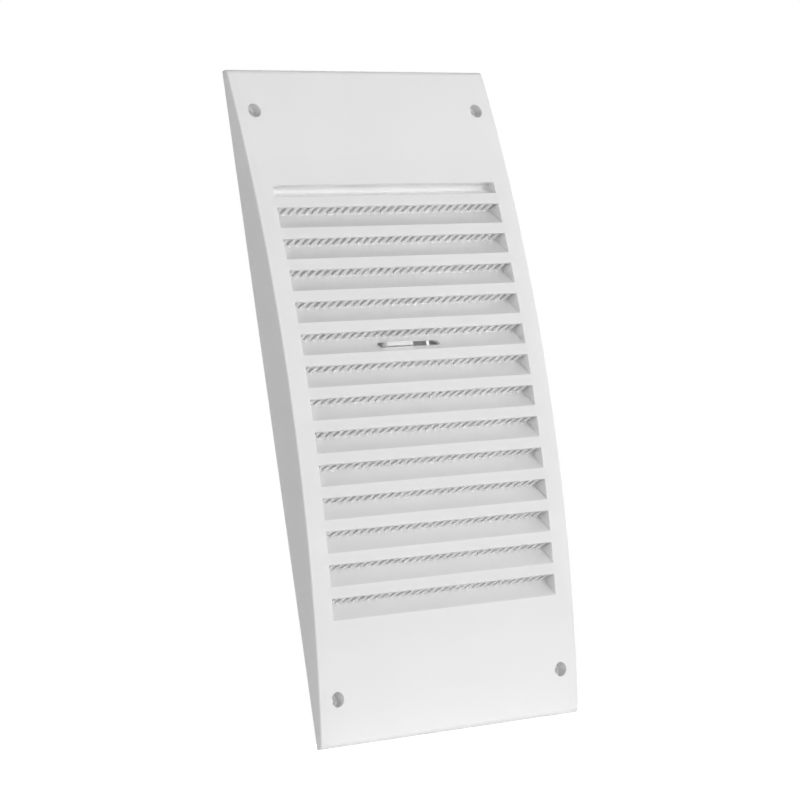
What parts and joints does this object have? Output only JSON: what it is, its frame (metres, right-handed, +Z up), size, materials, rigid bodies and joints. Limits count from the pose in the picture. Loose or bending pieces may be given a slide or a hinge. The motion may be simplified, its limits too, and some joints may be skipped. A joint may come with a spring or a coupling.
{
  "type": "ventilation grille",
  "caption": "Bowed wall ventilation grille with ribbed louvre rows and a sliding shutter moved by a small lever in one row.",
  "frame": {"origin": "centre of the four screw holes, in the wall plane", "axes": "+X to the right seen from the room, +Y into the wall, +Z up; the room side faces -Y"},
  "size_m": [0.15, 0.0213, 0.33],
  "materials": {
    "cover": "gloss white moulding",
    "back_plate": "white sheet",
    "shutter": "gloss white moulding"
  },
  "bodies": {
    "housing": {"cover": "cover", "back_plate": "back_plate"},
    "slide": {"shutter": "shutter"}
  },
  "joints": [
    {"name": "shutter_slide", "type": "slide", "parent": "housing", "child": "slide", "axis": [1, 0, 0], "range_m": [-0.0023, 0.0162]}
  ]
}
